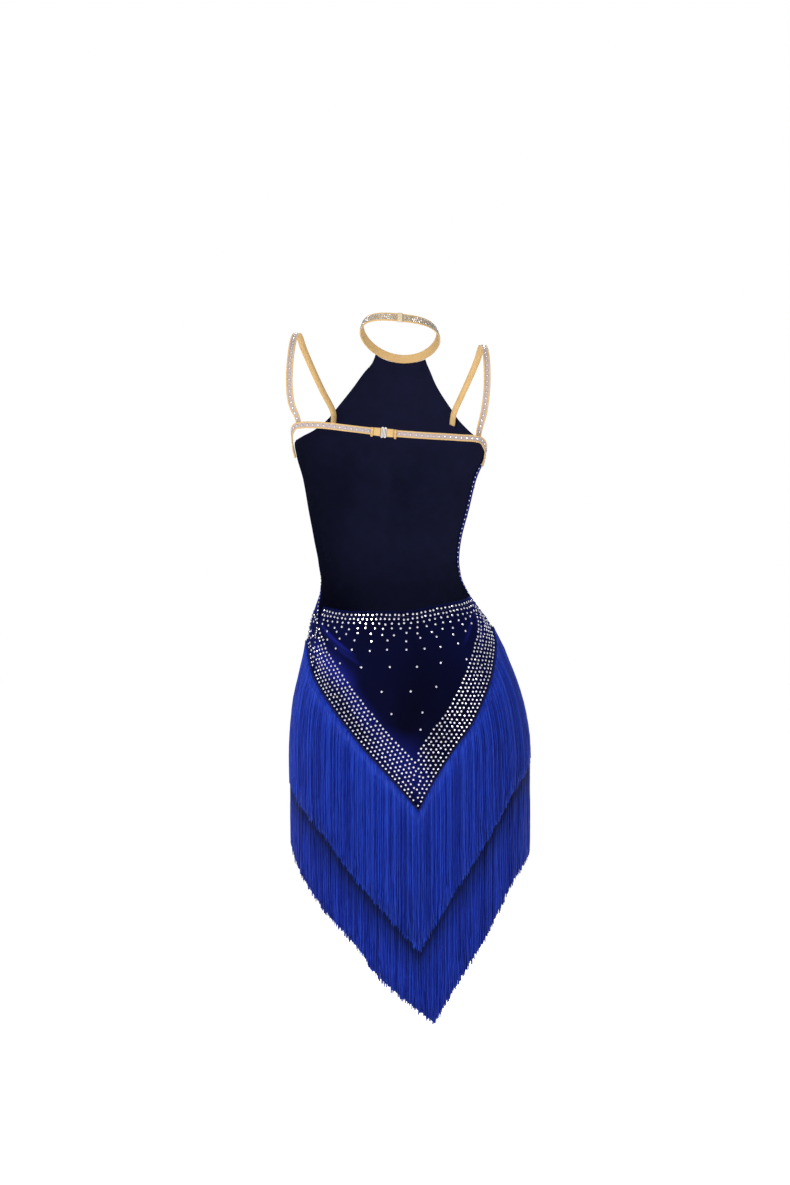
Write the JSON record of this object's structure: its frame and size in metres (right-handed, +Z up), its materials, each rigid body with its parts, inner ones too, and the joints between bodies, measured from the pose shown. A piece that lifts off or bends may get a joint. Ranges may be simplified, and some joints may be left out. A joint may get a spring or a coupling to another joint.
{
  "type": "latin dance dress",
  "caption": "Backless latin dance dress with a halter front, thin shoulder and back straps, a pointed velvet back yoke and two tiers of fringe, hollow as when worn.",
  "frame": {"origin": "midway between the tops of the two shoulder straps, where the dress hangs on the wearer", "axes": "+Z up, +Y towards the wearer's front, +X towards the wearer's right hand"},
  "size_m": [0.3641, 0.2374, 1.0423],
  "materials": {
    "velvet": "navy stretch velvet with short nap",
    "under_cloth": "matt royal blue stretch cloth",
    "fringe": "royal blue viscose fringe, slightly lustrous",
    "nude_elastic": "skin-tone elastic tape, matt",
    "clear_plastic": "clear moulded plastic"
  },
  "bodies": {
    "root": {"front_panel": "velvet", "back_yoke": "velvet", "underskirt_back": "under_cloth", "underskirt_front": "under_cloth", "fringe_upper_back": "fringe", "fringe_upper_front": "fringe", "fringe_lower_back": "fringe", "fringe_lower_front": "fringe", "neckband": "nude_elastic", "neckband_tab": "nude_elastic", "shoulder_strap_left": "nude_elastic", "shoulder_strap_right": "nude_elastic", "back_strap_left": "nude_elastic", "back_strap_right": "nude_elastic", "strap_keeper_left": "nude_elastic", "strap_keeper_right": "nude_elastic", "clasp_loop": "clear_plastic", "clasp_hook": "clear_plastic"}
  },
  "joints": []
}
